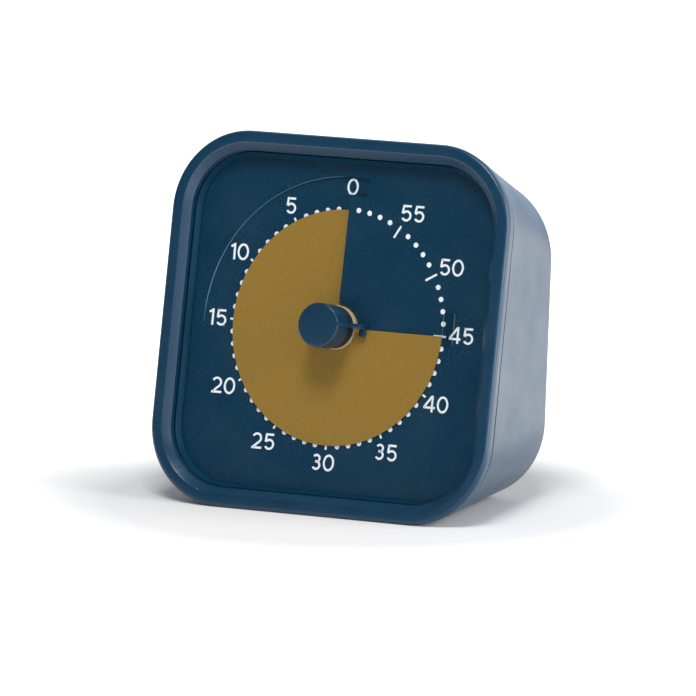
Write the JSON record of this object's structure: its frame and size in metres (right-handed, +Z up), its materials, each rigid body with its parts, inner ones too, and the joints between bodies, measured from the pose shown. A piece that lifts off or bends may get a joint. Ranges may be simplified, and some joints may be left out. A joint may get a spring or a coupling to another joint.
{
  "type": "visual countdown timer",
  "caption": "Square tabletop countdown timer: a coloured disc, turned by a centre knob, slides through a slot in its ramped dial; the battery, alert switch and speaker holes are at the back.",
  "frame": {"origin": "middle of the flat bottom wall that the timer stands on, on the surface it stands on", "axes": "+X to the right as the dial is read, +Y from the dial to the back, +Z up"},
  "size_m": [0.091, 0.0527, 0.0893],
  "materials": {
    "case_plastic": "fine matte grain, satin",
    "dial_plastic": "fine matte grain",
    "disc_film": "metallic gold print on thin film",
    "clear_film": "clear glossy film",
    "hub_plastic": "satin light grey",
    "dark_plastic": "matte",
    "white_plastic": "satin",
    "steel": "brushed",
    "brass": "satin",
    "magnet": "sintered",
    "copper_wire": "enamelled wire",
    "board": "solder mask",
    "chip_resin": "moulded resin",
    "cell_jacket": "plain printed jacket"
  },
  "bodies": {
    "case": {"front_bezel": "case_plastic", "dial_surround": "dial_plastic", "dial_plate": "dial_plastic", "rear_case": "case_plastic", "movement_case": "white_plastic", "movement_cover": "white_plastic", "stator": "steel", "coil_core": "steel", "coil_bobbin": "white_plastic", "coil_winding": "copper_wire", "circuit_board": "board", "chip": "chip_resin", "crystal": "steel", "alert_contact": "brass", "buzzer": "brass", "switch_body": "dark_plastic", "cell": "cell_jacket", "contact_positive": "steel", "contact_negative": "steel", "case_screws": "steel", "movement_screws": "steel"},
    "spindle": {"knob": "case_plastic", "hub_sleeve": "dark_plastic", "spindle_shaft": "steel", "clutch_spring": "brass", "alert_cam": "white_plastic"},
    "disc": {"time_disc": "disc_film", "disc_hub": "hub_plastic", "edge_tab": "clear_film"},
    "seconds": {"seconds_wheel": "brass"},
    "third": {"third_wheel": "brass"},
    "centre": {"centre_wheel": "brass"},
    "step": {"step_wheel": "white_plastic"},
    "rotor": {"rotor_pinion": "white_plastic", "rotor_magnet": "magnet"},
    "door": {"battery_door": "case_plastic"},
    "switch": {"switch_knob": "dark_plastic"}
  },
  "joints": [
    {"name": "knob_turn", "type": "hinge", "parent": "case", "child": "spindle", "pos_m": [0, -0.01485, 0.04485], "axis": [0, -0.9815, 0.1916], "range_deg": [-270, 90]},
    {"name": "disc_thread", "type": "slide", "parent": "spindle", "child": "disc", "axis": [0, -0.9815, 0.1916], "range_m": [-0.00092, 0.00032]},
    {"name": "seconds_turn", "type": "hinge", "parent": "case", "child": "seconds", "pos_m": [0.00471, -0.01199, 0.05949], "axis": [0, -0.9815, 0.1916], "continuous": true},
    {"name": "third_turn", "type": "hinge", "parent": "case", "child": "third", "pos_m": [0.01011, -0.01322, 0.05318], "axis": [0, -0.9815, 0.1916], "continuous": true},
    {"name": "centre_turn", "type": "hinge", "parent": "case", "child": "centre", "pos_m": [0, -0.01485, 0.04485], "axis": [0, -0.9815, 0.1916], "continuous": true},
    {"name": "step_turn", "type": "hinge", "parent": "case", "child": "step", "pos_m": [-0.00356, -0.01227, 0.05806], "axis": [0, -0.9815, 0.1916], "continuous": true},
    {"name": "rotor_turn", "type": "hinge", "parent": "case", "child": "rotor", "pos_m": [-0.01033, -0.01274, 0.05564], "axis": [0, -0.9815, 0.1916], "continuous": true},
    {"name": "door_hinge", "type": "hinge", "parent": "case", "child": "door", "pos_m": [0, 0.02413, 0.00882], "axis": [-1, 0, 0], "range_deg": [0, 85]},
    {"name": "alert_switch", "type": "slide", "parent": "case", "child": "switch", "axis": [1, 0, 0], "range_m": [0, 0.003]}
  ],
  "couplings": [
    {"joint": "disc_thread", "follows": "knob_turn", "m_per_rad": 0.00019099},
    {"joint": "third_turn", "follows": "seconds_turn", "ratio": -0.16667},
    {"joint": "centre_turn", "follows": "seconds_turn", "ratio": 0.016667},
    {"joint": "step_turn", "follows": "seconds_turn", "ratio": -6},
    {"joint": "rotor_turn", "follows": "seconds_turn", "ratio": 30}
  ]
}
